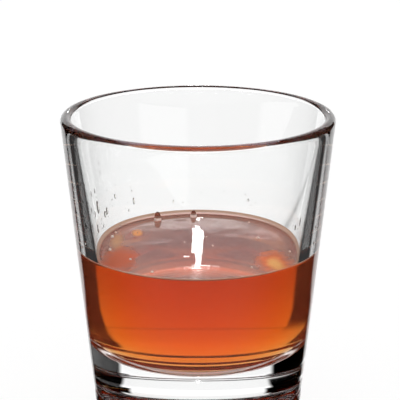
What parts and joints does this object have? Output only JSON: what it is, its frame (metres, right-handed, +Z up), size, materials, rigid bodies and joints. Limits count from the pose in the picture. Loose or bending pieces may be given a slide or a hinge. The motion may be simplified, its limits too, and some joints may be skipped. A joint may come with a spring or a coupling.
{
  "type": "filled cocktail glass",
  "caption": "Amber sazerac in a clear, tapered old-fashioned glass with a rounded lip, a thick solid base and a grooved foot, about one third full.",
  "frame": {"origin": "centre of the base, on the surface that the glass stands on", "axes": "+Z up along the axis of the glass, towards its rim; the glass is round, so X and Y are any two level directions"},
  "size_m": [0.086, 0.086, 0.0974],
  "materials": {
    "glass": "clear, fire-polished, with a few small drops on the inner wall",
    "drink": "clear amber-orange liquid, level and glossy"
  },
  "bodies": {
    "root": {"glass": "glass", "drink": "drink"}
  },
  "joints": []
}
